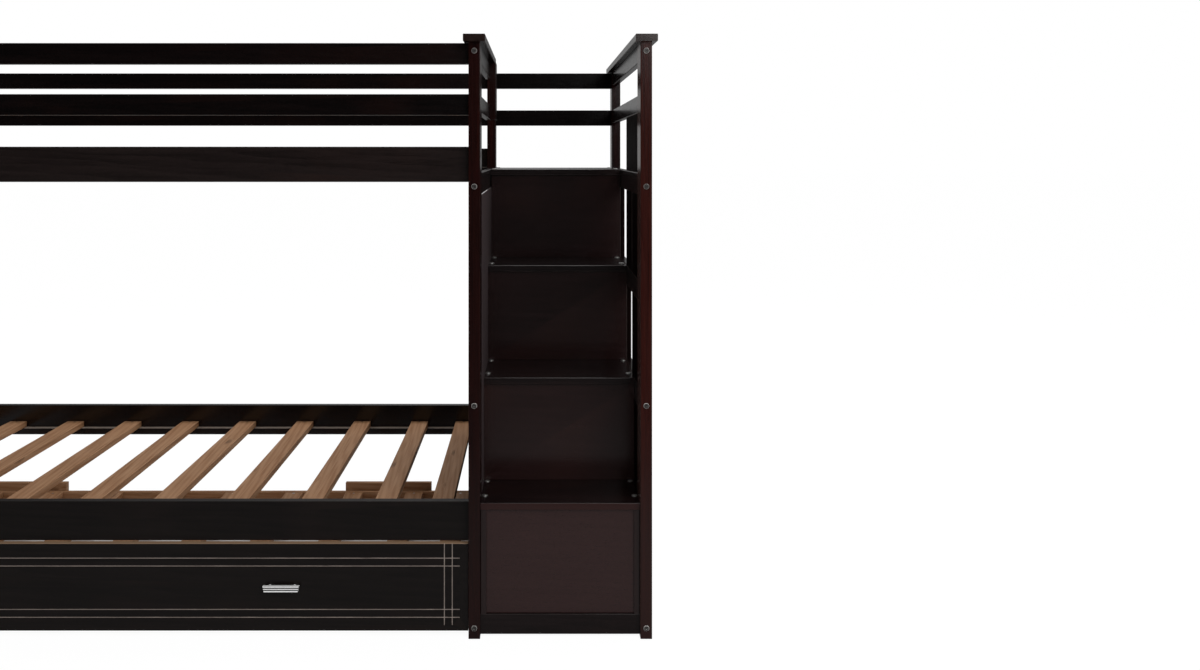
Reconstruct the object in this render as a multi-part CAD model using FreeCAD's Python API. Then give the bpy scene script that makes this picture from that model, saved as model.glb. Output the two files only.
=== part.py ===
import FreeCAD, Part
import math
import os

# Twin-over-twin bunk bed with a storage staircase at its right end and a pull-out trundle.
# Millimetres. +X runs along the bed towards the stairs, +Y from the front to the rear, +Z up.
# The origin is on the floor, under the middle of the whole bed.

# ---- overall sizes -------------------------------------------------------------------------
HEIGHT = 1560.0                # floor to the top of the cap rails
FRAME_DEPTH = 1070.0           # front face of the front posts to rear face of the rear posts
BED_LENGTH = 1930.0            # clear length between the left and middle end frames
STAIR_WIDTH = 414.0            # clear width between the middle and right end frames

# ---- end frames ----------------------------------------------------------------------------
POST_WIDTH = 30.0              # along X
POST_DEPTH = 82.0              # along Y
CAP_WIDTH = 57.0
CAP_THICKNESS = 19.0
CAP_END_OVERHANG = 13.5        # past the posts, front and rear
TOP_PANEL_HEIGHT = 47.0
INFILL_THICKNESS = 18.0        # rails and planks between the posts of one frame
INFILL_INSET = 3.0             # from a post's face beside the stairs or the left bunk end to the infill
SIDE_RAIL_HEIGHT = 59.0
SIDE_GUARD_HEIGHT = 46.0       # guard rail between the posts of one frame
GUARD_HEIGHT = 55.0
FOOT_GAP = 6.0                 # the lowest rails stay this far above the floor
GUARD_GAP = 78.0               # between the two guard rails
GUARD_TO_RAIL = 82.0           # between the lower guard rail and the upper bunk's rail
GUARD_DROP = 1.0               # the upper guard rail's top is this far below the posts' tops

# ---- guard beside the platform, on the middle frame ----------------------------------------
ENTRY_WIDTH = 300.0            # opening from the platform into the upper bunk
GUARD_STILE_DEPTH = 90.0
GUARD_STILE_THICKNESS = 19.5

# ---- bunk rails, ledgers and slats ---------------------------------------------------------
RAIL_THICKNESS = 22.0
RAIL_SETBACK = 24.0            # from a post's outer face to a rail's outer face
UPPER_RAIL_HEIGHT = 92.0
LOWER_RAIL_HEIGHT = 102.0
LOWER_RAIL_TOP = 347.0
LEDGER_DEPTH = 22.0
LEDGER_HEIGHT = 22.0
LEDGER_RISE = 3.0              # from a rail's lower edge to its ledger's
LEDGER_SCREWS = 6
SLAT_WIDTH = 60.0
SLAT_THICKNESS = 20.0
SLAT_END_GAP = 2.0             # from a slat's end to the rail
SLAT_FIRST = 85.0              # from an end frame to the first slat's centre line
SLAT_SECOND = 244.0            # from an end frame to the second slat's centre line
SLAT_INNER_COUNT = 8           # slats from the second to the last but one, evenly spaced

# ---- stairs --------------------------------------------------------------------------------
FIRST_TREAD_TOP = 346.0
PLATFORM_DROP = 69.0           # the platform's top is this far below the upper bunk's rail top
TREAD_THICKNESS = 18.0
BOTTOM_SHELF_TOP = 58.0
BOTTOM_SHELF_THICKNESS = 12.0
RISER_THICKNESS = 12.0
RISER_PLACES = (199.0, 434.0, 664.0)   # front faces of risers 2 to 4, from the front posts' faces
TREAD_NOSING = 8.0             # of the treads above the first, past their risers
FIRST_TREAD_PLACE = 12.0       # front edge of the first tread, from the front posts' faces
KICK_RAIL_PLACE = 14.0         # front faces of the kick rail and of the strips beside riser 1
KICK_RAIL_THICKNESS = 18.0
STRIP_WIDTH = 15.0
STRIP_THICKNESS = 6.0
CLEAT_WIDTH = 18.0             # of a tread cleat, past the posts' inner faces
CLEAT_HEIGHT = 20.0
CLEAT_SCREW_INSET = 130.0      # from a cleat's ends, on cleats long enough for it
PLANK_WIDTH = 178.0            # side planks of the right frame
PLANK_GAP = 3.0
RISER_TRIM_THICKNESS = 14.0
RISER_TRIM_DEPTH = 45.0
REAR_RAIL_THICKNESS = 18.0
REAR_RAIL_HEIGHT = 50.0
BACK_PANEL_THICKNESS = 5.0
BACK_PANEL_SETBACK = 34.0      # from the rear posts' rear faces
BOARD_GAP = 0.5                # clearance of boards that drop in between other pieces

# ---- trundle -------------------------------------------------------------------------------
TRUNDLE_END_GAP = 1.5
TRUNDLE_TOP_GAP = 3.0
TRUNDLE_FLOOR_GAP = 16.0
TRUNDLE_SETBACK = 10.0         # front face, behind the posts' front faces
TRUNDLE_REAR_SPACE = 190.0     # from the rear posts' rear faces to the trundle's rear rail
TRUNDLE_FRONT_THICKNESS = 18.0
TRUNDLE_BOARD = 18.0           # sides, rear rail and stop boards
TRUNDLE_SLAT_TOP = 89.0
TRUNDLE_SIDE_HEIGHT = 58.0
STOP_BOARD_LENGTH = 295.0
STOP_BOARD_PLACE = 188.0       # from the bunk's end to the stop board's near end
STOP_BOARD_RISE = 26.0         # above the trundle slats
STOP_BOARD_HEIGHT = 80.0
GROOVE_WIDTH = 2.4
GROOVE_DEPTH = 2.0
GROOVE_PAIR = 20.4             # between the two grooves of a pair
GROOVE_SIDE = 41.0             # panel's end to the first upright groove
GROOVE_UPRIGHT_FOOT = 15.0     # upright grooves stop this far above the panel's lower edge
GROOVE_TOP = 37.5              # panel's top to the first lying groove
GROOVE_BOTTOM = 35.3           # panel's lower edge to the first lying groove
GROOVE_LYING_END = 21.5        # lying grooves stop this far from the panel's ends
HANDLE_LENGTH = 95.0
HANDLE_HEIGHT = 16.2
HANDLE_THICKNESS = 7.0
HANDLE_STANDOFF = 12.0
HANDLE_POST_RADIUS = 4.5
HANDLE_POST_SPACING = 64.0
HANDLE_DROP = 110.1            # from the panel's top to the handle's centre
HANDLE_SLANT = 3.6             # how much shorter the bar is along its lower edge, each end
HANDLE_RIDGE_RADIUS = 1.6

# ---- casters -------------------------------------------------------------------------------
WHEEL_RADIUS = 25.0
WHEEL_WIDTH = 20.0
WHEEL_ROUND = 3.0
WHEEL_RIM = 7.0                # radial thickness of the rim round the recessed web
WHEEL_RECESS = 4.0             # depth of the recess on each side
WHEEL_HUB_RADIUS = 6.6
WHEEL_FLOOR_GAP = 0.5
AXLE_RADIUS = 3.0
AXLE_CLEARANCE = 0.05
AXLE_HEAD_RADIUS = 4.8
CASTER_CHEEK = 2.0
CASTER_CHEEK_HALF = 20.0       # half of a cheek's length at the plate
CASTER_FOOT_RADIUS = 7.5       # round lower end of a cheek
CASTER_SIDE_GAP = 1.0
CASTER_PLATE_X = 56.0
CASTER_PLATE_Y = 60.0
CASTER_SCREW_INSET = 6.5       # from the plate's edges to its screws
CASTER_SCREW_TIP_GAP = 1.5     # from a screw's tip to the slat above the block
CASTER_BLOCK_X = 60.0
CASTER_BLOCK_Y = 90.0
CASTER_PLATE_TOP = 60.0
CASTER_FRONT = 90.0            # from the trundle's front face to the front casters' axles
CASTER_REAR = 90.0             # from the trundle's rear to the rear casters' axles

# ---- fasteners -----------------------------------------------------------------------------
BOLT_RADIUS = 3.0
BOLT_HOLE_RADIUS = 3.25
BOLT_HEAD_RADIUS = 7.0
BOLT_HEAD_HEIGHT = 2.5
BOLT_HEAD_ROUND = 0.8
SOCKET_WIDTH = 5.0             # across flats
SOCKET_DEPTH = 1.8
COUNTERBORE_RADIUS = 8.0
COUNTERBORE_DEPTH = 5.0
BOLT_BITE = 45.0               # length of a bolt past the post, in the piece that it holds
NUT_RADIUS = 5.0
NUT_HOLE_RADIUS = 5.05
NUT_LENGTH = 14.0
NUT_PLACE = 32.0               # from a rail's end to its barrel nut
DOWEL_RADIUS = 4.0
DOWEL_HALF_LENGTH = 15.0
SHORT_DOWEL_HALF_LENGTH = 10.0   # into a cap, or into a post's side
DOWEL_SPREAD = 14.0            # from a rail's centre line to each of its two dowels
STAIR_GUARD_DOWELS = (5.0, 20.0)   # heights over a stair guard rail's centre line
RAIL_BOLT_SPREAD = 25.0        # from a bunk rail's centre line to each of its two bolts
GUARD_BOLT_DROP = 10.0         # from a guard rail's centre line down to its bolt
SCREW_RADIUS = 1.8
SCREW_HEAD_RADIUS = 4.5
SCREW_HEAD_HEIGHT = 1.5
SCREW_LENGTH = 30.0
PANEL_SCREW_LENGTH = 18.0
TREAD_BOLT_HEAD_RADIUS = 8.0
TREAD_BOLT_HEAD_HEIGHT = 2.0
TREAD_BOLT_BEHIND_NOSE = 58.0
TREAD_BOLT_BEFORE_RISER = 10.0
PLATFORM_BOLT_DROP = 34.0      # from the platform's top
FOOT_BOLT_HEIGHT = 28.0

EDGE_RADIUS = 2.0              # eased long edges of the posts, rails and treads
SMALL_EDGE_RADIUS = 1.2        # eased long edges of thin boards

# ---- places that follow from the sizes -----------------------------------------------------
CAP_SIDE = (CAP_WIDTH - POST_WIDTH) / 2
POSTS_LENGTH = 3 * POST_WIDTH + BED_LENGTH + STAIR_WIDTH
LEFT_X = -POSTS_LENGTH / 2
BED_X0 = LEFT_X + POST_WIDTH
BED_X1 = BED_X0 + BED_LENGTH
STAIR_X0 = BED_X1 + POST_WIDTH
STAIR_X1 = STAIR_X0 + STAIR_WIDTH
FRAME_X = {"left": LEFT_X, "middle": BED_X1, "right": STAIR_X1}

FRONT = -FRAME_DEPTH / 2
REAR = FRAME_DEPTH / 2
INNER_FRONT = FRONT + POST_DEPTH
INNER_REAR = REAR - POST_DEPTH

POST_TOP = HEIGHT - CAP_THICKNESS
HIGH_GUARD = POST_TOP - GUARD_DROP - GUARD_HEIGHT
LOW_GUARD = HIGH_GUARD - GUARD_GAP - GUARD_HEIGHT
SIDE_GUARD_TOP = LOW_GUARD + GUARD_HEIGHT
SIDE_GUARD_BOTTOM = SIDE_GUARD_TOP - SIDE_GUARD_HEIGHT
UPPER_RAIL_TOP = LOW_GUARD - GUARD_TO_RAIL
UPPER_RAIL_BOTTOM = UPPER_RAIL_TOP - UPPER_RAIL_HEIGHT
LOWER_RAIL_BOTTOM = LOWER_RAIL_TOP - LOWER_RAIL_HEIGHT
PLATFORM_TOP = UPPER_RAIL_TOP - PLATFORM_DROP
RISE = (PLATFORM_TOP - FIRST_TREAD_TOP) / 3
TREAD_TOPS = [FIRST_TREAD_TOP + RISE * step for step in range(4)]
RAIL_INNER = RAIL_SETBACK + RAIL_THICKNESS
GUARD_END = INNER_REAR - ENTRY_WIDTH
FIRST_RISER = KICK_RAIL_PLACE + STRIP_THICKNESS
BACK_FACE = REAR - BACK_PANEL_SETBACK - BACK_PANEL_THICKNESS
SIDE_FACE = STAIR_X1 + INFILL_INSET      # infill faces of the right and middle frames
MIDDLE_FACE = STAIR_X0 - INFILL_INSET

pieces = {}
holes = {}


# ---- making pieces -------------------------------------------------------------------------
def box(x0, x1, y0, y1, z0, z1):
    corner = FreeCAD.Vector(x0, y0, z0)
    return Part.makeBox(x1 - x0, y1 - y0, z1 - z0, corner)


def board(x0, x1, y0, y1, z0, z1, radius=EDGE_RADIUS):
    """A box whose four long edges are eased."""
    solid = box(x0, x1, y0, y1, z0, z1)
    length = max(x1 - x0, y1 - y0, z1 - z0)
    long_edges = [edge for edge in solid.Edges if abs(edge.Length - length) < 0.001]
    return solid.makeFillet(radius, long_edges)


def rod(radius, start, direction, length):
    return Part.makeCylinder(radius, length, FreeCAD.Vector(*start), FreeCAD.Vector(*direction))


def add(node, solid):
    pieces.setdefault(node, []).append(solid)


def cut(node, hole):
    holes.setdefault(node, []).append(hole)


def along(start, direction, distance):
    return tuple(place + step * distance for place, step in zip(start, direction))


# ---- fasteners -----------------------------------------------------------------------------
def bolt(node, face, direction, length, head_radius=BOLT_HEAD_RADIUS, head_height=BOLT_HEAD_HEIGHT):
    """A socket-head bolt whose head rests on the point face and whose shank runs along direction."""
    back = tuple(-step for step in direction)
    head = rod(head_radius, face, back, head_height)
    rims = [edge for edge in head.Edges if abs(edge.Length - 2 * math.pi * head_radius) < 0.01]
    outer = max(rims, key=lambda edge: edge.BoundBox.Center.dot(FreeCAD.Vector(*back)))
    head = head.makeFillet(BOLT_HEAD_ROUND, [outer])
    top = along(face, back, head_height - SOCKET_DEPTH)
    axis = FreeCAD.Vector(*back)
    sideways = FreeCAD.Vector(1, 0, 0) if direction[2] else FreeCAD.Vector(0, 0, 1)
    ring = []
    for corner in range(7):
        turn = FreeCAD.Rotation(axis, 60 * corner)
        ring.append(FreeCAD.Vector(*top) + turn.multVec(sideways) * (SOCKET_WIDTH / math.sqrt(3)))
    socket = Part.Face(Part.makePolygon(ring)).extrude(axis * head_height)
    shank = rod(BOLT_RADIUS, face, direction, length)
    add(node, head.cut(socket).fuse(shank).removeSplitter())


def post_bolt(post, infill, x, infill_x, z, at_front):
    """A bolt through a post, along Y, into the end of a rail of the same frame, with its nut."""
    direction = (0, 1, 0) if at_front else (0, -1, 0)
    face = (x, FRONT if at_front else REAR, z)
    bolt("bolts", face, direction, POST_DEPTH + BOLT_BITE)
    hole = rod(BOLT_HOLE_RADIUS, along(face, direction, -1), direction, POST_DEPTH + BOLT_BITE + 2)
    cut(post, hole)
    cut(infill, hole)
    nut_at = along(face, direction, POST_DEPTH + NUT_PLACE)
    barrel_nut(infill, nut_at, infill_x, (1, 0, 0), INFILL_THICKNESS)


def barrel_nut(node, thread_at, board_middle, axis, board_thickness):
    """A cross dowel nut, let into a board from one of its faces, threaded on a bolt's axis."""
    centre = tuple(board_middle if step else place for place, step in zip(thread_at, axis))
    start = along(centre, axis, -NUT_LENGTH / 2)
    nut = rod(NUT_RADIUS, start, axis, NUT_LENGTH)
    other = (0, 1, 0) if axis[0] else (1, 0, 0)
    thread = rod(BOLT_RADIUS, along(thread_at, other, -2 * NUT_RADIUS), other, 4 * NUT_RADIUS)
    add("barrel_nuts", nut.cut(thread))
    depth = board_thickness / 2 + NUT_LENGTH / 2
    cut(node, rod(NUT_HOLE_RADIUS, start, axis, depth + 1))


def rail_bolt(post, rail, face_x, y, z, direction_x):
    """A bolt sunk into a post's side, along X, into the end of a long rail, with its nut."""
    direction = (direction_x, 0, 0)
    face = (face_x + direction_x * COUNTERBORE_DEPTH, y, z)
    reach = POST_WIDTH - COUNTERBORE_DEPTH
    bolt("bolts", face, direction, reach + BOLT_BITE)
    hole = rod(BOLT_HOLE_RADIUS, along(face, direction, -1), direction, reach + BOLT_BITE + 2)
    cut(post, rod(COUNTERBORE_RADIUS, (face_x, y, z), direction, COUNTERBORE_DEPTH))
    cut(post, hole)
    cut(rail, hole)
    nut_at = along(face, direction, reach + NUT_PLACE)
    barrel_nut(rail, nut_at, y, (0, 1, 0), RAIL_THICKNESS)


def dowel(first, second, joint, direction, half_length=DOWEL_HALF_LENGTH):
    """A wooden dowel across the joint between two pieces."""
    start = along(joint, direction, -half_length)
    pin = rod(DOWEL_RADIUS, start, direction, 2 * half_length)
    add("dowels", pin)
    cut(first, pin)
    cut(second, pin)


def screw(node, boards, head_at, direction, length=SCREW_LENGTH):
    """A countersunk wood screw whose head is flush with the surface at head_at."""
    wide = FreeCAD.Vector(*head_at)
    axis = FreeCAD.Vector(*direction)
    head = Part.makeCone(SCREW_HEAD_RADIUS, SCREW_RADIUS, SCREW_HEAD_HEIGHT + 1, wide, axis)
    shape = head.fuse(rod(SCREW_RADIUS, head_at, direction, length)).removeSplitter()
    add(node, shape)
    for name in boards:
        cut(name, shape)


# ---- end frames ----------------------------------------------------------------------------
def infill_start(side):
    """Lower X of a frame's infill, which lies near the posts' faces beside the stairs."""
    if side == "right":
        return SIDE_FACE
    return FRAME_X[side] + POST_WIDTH - INFILL_INSET - INFILL_THICKNESS


def end_frame(side):
    """Two posts, joined by rails: the heights of the rails depend on the frame."""
    x0 = FRAME_X[side]
    x1 = x0 + POST_WIDTH
    post_x = (x0 + x1) / 2
    in0 = infill_start(side)
    in1 = in0 + INFILL_THICKNESS
    infill_x = (in0 + in1) / 2
    guard_rear = GUARD_END if side == "middle" else INNER_REAR
    cap_rear = GUARD_END if side == "middle" else REAR + CAP_END_OVERHANG
    cap_front = FRONT - CAP_END_OVERHANG
    cap = side + "_cap"
    rails = side + "_side_rails"
    ends = {True: (side + "_front_post", INNER_FRONT), False: (side + "_rear_post", INNER_REAR)}
    guard_ends = [True] if side == "middle" else [True, False]

    add(side + "_front_post", board(x0, x1, FRONT, INNER_FRONT, 0, POST_TOP))
    add(side + "_rear_post", board(x0, x1, INNER_REAR, REAR, 0, POST_TOP))
    add(cap, board(x0 - CAP_SIDE, x1 + CAP_SIDE, cap_front, cap_rear, POST_TOP, HEIGHT))
    add("top_panels", board(in0, in1, INNER_FRONT, guard_rear, POST_TOP - TOP_PANEL_HEIGHT, POST_TOP))
    add(rails, board(in0, in1, INNER_FRONT, guard_rear, SIDE_GUARD_BOTTOM, SIDE_GUARD_TOP))
    for bottom, top, fixing in side_rail_levels(side):
        add(rails, board(in0, in1, INNER_FRONT, INNER_REAR, bottom, top))
        for at_front, (post, joint_y) in ends.items():
            if fixing == "dowels":
                dowel_pair(post, rails, infill_x, joint_y, (bottom + top) / 2)
            else:
                post_bolt(post, rails, post_x, infill_x, fixing, at_front)
    for at_front in guard_ends:
        post, joint_y = ends[at_front]
        post_bolt(post, "top_panels", post_x, infill_x, POST_TOP - TOP_PANEL_HEIGHT / 2, at_front)
        dowel_pair(post, rails, infill_x, joint_y, (SIDE_GUARD_BOTTOM + SIDE_GUARD_TOP) / 2)
        post_y = joint_y - POST_DEPTH / 2 if at_front else joint_y + POST_DEPTH / 2
        dowel(post, cap, (post_x, post_y, POST_TOP), (0, 0, 1), SHORT_DOWEL_HALF_LENGTH)
    for share in (1, 3):
        y = INNER_FRONT + (guard_rear - INNER_FRONT) * share / 4
        dowel("top_panels", cap, (infill_x, y, POST_TOP), (0, 0, 1), SHORT_DOWEL_HALF_LENGTH)


def dowel_pair(post, rails, x, joint_y, z):
    """Two dowels, one over the other, between a post and the end of a rail of its frame."""
    for offset in (-DOWEL_SPREAD, DOWEL_SPREAD):
        dowel(post, rails, (x, joint_y, z + offset), (0, 1, 0))


def side_rail_levels(side):
    """Bottom, top and fixing of a frame's full-depth rails: a bolt's height, or dowels."""
    second, third, platform = TREAD_TOPS[1:]
    levels = [
        (FOOT_GAP, BOTTOM_SHELF_TOP, FOOT_BOLT_HEIGHT),
        (second - SIDE_RAIL_HEIGHT, second, second - SIDE_RAIL_HEIGHT / 2),
        (third - SIDE_RAIL_HEIGHT, third, "dowels"),
    ]
    if side == "left":
        levels.append((UPPER_RAIL_BOTTOM, UPPER_RAIL_TOP, (UPPER_RAIL_BOTTOM + UPPER_RAIL_TOP) / 2))
    else:
        levels.append((platform - SIDE_RAIL_HEIGHT, platform, platform - PLATFORM_BOLT_DROP))
    if side == "right":
        levels.append((FIRST_TREAD_TOP - SIDE_RAIL_HEIGHT, FIRST_TREAD_TOP, "dowels"))
    else:
        levels.append((LOWER_RAIL_BOTTOM, LOWER_RAIL_TOP, "dowels"))
    return levels


def middle_guard_stile():
    """Upright board that ends the middle frame's guard, beside the way into the upper bunk."""
    outer = MIDDLE_FACE + GUARD_STILE_THICKNESS
    add("middle_guard_stile", board(MIDDLE_FACE, outer, GUARD_END - GUARD_STILE_DEPTH, GUARD_END,
                                    SIDE_GUARD_BOTTOM, POST_TOP))
    for board_name, height in (("middle_side_rails", (SIDE_GUARD_BOTTOM + SIDE_GUARD_TOP) / 2),
                               ("top_panels", POST_TOP - TOP_PANEL_HEIGHT / 2)):
        for inset in (GUARD_STILE_DEPTH / 4, 3 * GUARD_STILE_DEPTH / 4):
            head = (outer, GUARD_END - inset, height)
            screw("wood_screws", ["middle_guard_stile", board_name], head, (-1, 0, 0))


def right_planks():
    """Side planks above the first and third treads, between the right frame's rails."""
    x0 = SIDE_FACE
    x1 = x0 + INFILL_THICKNESS
    first, second, third, platform = TREAD_TOPS
    columns = [
        (INNER_FRONT + PLANK_GAP, (first, second, third, platform)),
        (INNER_FRONT + 2 * PLANK_GAP + PLANK_WIDTH, (third, platform)),
    ]
    rail_below = [second - SIDE_RAIL_HEIGHT, third - SIDE_RAIL_HEIGHT,
                  platform - SIDE_RAIL_HEIGHT, SIDE_GUARD_BOTTOM]
    for y0, bottoms in columns:
        for bottom in bottoms:
            top = min(level for level in rail_below if level > bottom)
            add("right_planks", board(x0, x1, y0, y0 + PLANK_WIDTH, bottom, top))
            for y in (y0 + PLANK_WIDTH / 4, y0 + 3 * PLANK_WIDTH / 4):
                for joint_z in (bottom, top):
                    dowel("right_side_rails", "right_planks", ((x0 + x1) / 2, y, joint_z), (0, 0, 1))


# ---- bunk rails, ledgers and slats ---------------------------------------------------------
def rail_pair(front_node, rear_node, bottom, top, offsets):
    """One rail at the front and one at the rear, between the left and middle frames."""
    for node, y0, row in ((front_node, FRONT + RAIL_SETBACK, "_front_post"),
                          (rear_node, REAR - RAIL_INNER, "_rear_post")):
        add(node, board(BED_X0, BED_X1, y0, y0 + RAIL_THICKNESS, bottom, top))
        y = y0 + RAIL_THICKNESS / 2
        for offset in offsets:
            z = (bottom + top) / 2 + offset
            rail_bolt("left" + row, node, LEFT_X, y, z, 1)
            rail_bolt("middle" + row, node, STAIR_X0, y, z, -1)


def slat_places():
    """Centre lines of the slats, from the left end of the bunk."""
    pitch = (BED_LENGTH - 2 * SLAT_SECOND) / (SLAT_INNER_COUNT - 1)
    inner = [SLAT_SECOND + pitch * step for step in range(SLAT_INNER_COUNT)]
    return [SLAT_FIRST] + inner + [BED_LENGTH - SLAT_FIRST]


def bunk_deck(level, rail_bottom):
    """Ledgers on the rails' inner faces, with slats screwed down on them."""
    slats = level + "_slats"
    underside = rail_bottom + LEDGER_RISE
    top = underside + LEDGER_HEIGHT
    front = FRONT + RAIL_INNER
    rear = REAR - RAIL_INNER
    for y0 in (front, rear - LEDGER_DEPTH):
        add("slat_ledgers", board(BED_X0, BED_X1, y0, y0 + LEDGER_DEPTH, underside, top,
                                  SMALL_EDGE_RADIUS))
        at_front = y0 == front
        head_y = front + LEDGER_DEPTH if at_front else rear - LEDGER_DEPTH
        rail = level + ("_front_rail" if at_front else "_rear_rail")
        for share in range(1, 2 * LEDGER_SCREWS, 2):
            head = (BED_X0 + BED_LENGTH * share / (2 * LEDGER_SCREWS), head_y, (underside + top) / 2)
            screw("wood_screws", ["slat_ledgers", rail], head, (0, -1 if at_front else 1, 0),
                  LEDGER_DEPTH + RAIL_THICKNESS / 2)
    for place in slat_places():
        x = BED_X0 + place
        add(slats, board(x - SLAT_WIDTH / 2, x + SLAT_WIDTH / 2, front + SLAT_END_GAP,
                         rear - SLAT_END_GAP, top, top + SLAT_THICKNESS))
        for y in (front + LEDGER_DEPTH / 2, rear - LEDGER_DEPTH / 2):
            screw("wood_screws", [slats, "slat_ledgers"], (x, y, top + SLAT_THICKNESS), (0, 0, -1))


# ---- stairs --------------------------------------------------------------------------------
def shelf_board(node, front, top, thickness, left_x):
    """A tread that runs on behind its riser as a shelf, notched around the posts."""
    right_x = SIDE_FACE - BOARD_GAP
    x0 = STAIR_X0 + BOARD_GAP
    x1 = STAIR_X1 - BOARD_GAP
    nose = board(x0 if front < INNER_FRONT else left_x, x1 if front < INNER_FRONT else right_x,
                 front, front + 4 * EDGE_RADIUS, top - thickness, top, EDGE_RADIUS)
    shape = nose
    body_front = front + 2 * EDGE_RADIUS
    if front < INNER_FRONT:
        shape = shape.fuse(box(x0, x1, body_front, INNER_FRONT + 1, top - thickness, top))
        body_front = INNER_FRONT + BOARD_GAP
    shape = shape.fuse(box(left_x, right_x, body_front, INNER_REAR - BOARD_GAP, top - thickness, top))
    shape = shape.fuse(box(x0, x1, INNER_REAR - 1, BACK_FACE - BOARD_GAP, top - thickness, top))
    add(node, shape.removeSplitter())


def cleats(top, thickness, front, left_x):
    """Strips under both ends of a tread, on the middle frame and on the right frame's rail."""
    z1 = top - thickness
    z0 = z1 - CLEAT_HEIGHT
    rear = INNER_REAR - BOARD_GAP
    add("tread_cleats", board(left_x, STAIR_X0 + CLEAT_WIDTH, front, rear, z0, z1, SMALL_EDGE_RADIUS))
    strip = board(STAIR_X1 - CLEAT_WIDTH, SIDE_FACE, front, rear, z0, z1, SMALL_EDGE_RADIUS)
    post = box(STAIR_X1, SIDE_FACE + 1, FRONT, INNER_FRONT + BOARD_GAP, z0 - 1, z1 + 1)
    add("tread_cleats", strip.cut(post))
    between_posts = max(front, INNER_FRONT)
    inset = min(CLEAT_SCREW_INSET, (rear - between_posts) / 3)
    for y in (between_posts + inset, rear - inset):
        z = (z0 + z1) / 2
        into_left = ["tread_cleats", "stair_side_panel", "middle_side_rails"]
        screw("wood_screws", into_left, (STAIR_X0 + CLEAT_WIDTH, y, z), (-1, 0, 0))
        screw("wood_screws", ["tread_cleats", "right_side_rails"],
              (STAIR_X1 - CLEAT_WIDTH, y, z), (1, 0, 0))


def stairs():
    nodes = ["tread_1", "tread_2", "tread_3", "platform_tread"]
    riser_fronts = [FRONT + FIRST_RISER] + [FRONT + place for place in RISER_PLACES]
    panel_x = STAIR_X0 + BOARD_GAP
    below = BOTTOM_SHELF_TOP
    for step, (node, top) in enumerate(zip(nodes, TREAD_TOPS)):
        riser_y = riser_fronts[step]
        first = step == 0
        front = FRONT + FIRST_TREAD_PLACE if first else riser_y - TREAD_NOSING
        cleat_x = MIDDLE_FACE if node == "platform_tread" else STAIR_X0
        shelf_board(node, front, top, TREAD_THICKNESS, cleat_x + BOARD_GAP)
        cleats(top, TREAD_THICKNESS, riser_y + RISER_THICKNESS + BOARD_GAP, cleat_x)
        right_x = STAIR_X1 - BOARD_GAP if first else SIDE_FACE - BOARD_GAP
        riser = board(panel_x, right_x, riser_y, riser_y + RISER_THICKNESS,
                      below, top - TREAD_THICKNESS, SMALL_EDGE_RADIUS)
        add("riser_%d" % (step + 1), riser)
        tread_bolts(node, front, riser_fronts[step + 1] if step < 3 else INNER_REAR, top)
        rear_rail(top - TREAD_THICKNESS, REAR_RAIL_HEIGHT)
        below = top
    first_riser_surround(TREAD_TOPS[0] - TREAD_THICKNESS)
    riser_trims(riser_fronts)
    bottom_shelf(FRONT + KICK_RAIL_PLACE + KICK_RAIL_THICKNESS + BOARD_GAP, panel_x)


def bottom_shelf(front, left_x):
    """Floor of the lowest cubby."""
    shelf_board("bottom_shelf", front, BOTTOM_SHELF_TOP, BOTTOM_SHELF_THICKNESS, left_x)
    cleats(BOTTOM_SHELF_TOP, BOTTOM_SHELF_THICKNESS, front, STAIR_X0)
    underside = BOTTOM_SHELF_TOP - BOTTOM_SHELF_THICKNESS
    rear_rail(underside, underside - FOOT_GAP)


def tread_bolts(node, front, riser_y, top):
    """Four flat-headed bolts near a tread's corners, down into its cleats."""
    for x in (STAIR_X0 + CLEAT_WIDTH / 2, STAIR_X1 - CLEAT_WIDTH / 2):
        for y in (front + TREAD_BOLT_BEHIND_NOSE, riser_y - TREAD_BOLT_BEFORE_RISER):
            face = (x, y, top)
            bolt("tread_bolts", face, (0, 0, -1), SCREW_LENGTH, TREAD_BOLT_HEAD_RADIUS,
                 TREAD_BOLT_HEAD_HEIGHT)
            shank = rod(BOLT_RADIUS, face, (0, 0, -1), SCREW_LENGTH)
            cut(node, shank)
            cut("tread_cleats", shank)


def first_riser_surround(top):
    """Kick rail under the first riser, level with the bottom shelf, and a strip up each side."""
    y0 = FRONT + KICK_RAIL_PLACE
    for x0 in (STAIR_X0 + BOARD_GAP, STAIR_X1 - BOARD_GAP - STRIP_WIDTH):
        add("riser_1_strips", board(x0, x0 + STRIP_WIDTH, y0, y0 + STRIP_THICKNESS,
                                    BOTTOM_SHELF_TOP, top, SMALL_EDGE_RADIUS))
    add("kick_rail", board(STAIR_X0, STAIR_X1, y0, y0 + KICK_RAIL_THICKNESS,
                           FOOT_GAP, BOTTOM_SHELF_TOP, SMALL_EDGE_RADIUS))
    z = (FOOT_GAP + BOTTOM_SHELF_TOP) / 2
    for x, post in ((STAIR_X0, "middle_front_post"), (STAIR_X1, "right_front_post")):
        dowel(post, "kick_rail", (x, y0 + KICK_RAIL_THICKNESS / 2, z), (1, 0, 0),
              SHORT_DOWEL_HALF_LENGTH)


def riser_trims(riser_fronts):
    """Thin uprights in the right frame, beside risers 3 and 4: a plank covers the end of riser 2."""
    for step in (2, 3):
        y0 = riser_fronts[step]
        z0 = TREAD_TOPS[step - 1]
        z1 = TREAD_TOPS[step] - SIDE_RAIL_HEIGHT
        add("riser_trims", board(SIDE_FACE, SIDE_FACE + RISER_TRIM_THICKNESS,
                                 y0, y0 + RISER_TRIM_DEPTH, z0, z1, SMALL_EDGE_RADIUS))


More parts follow.
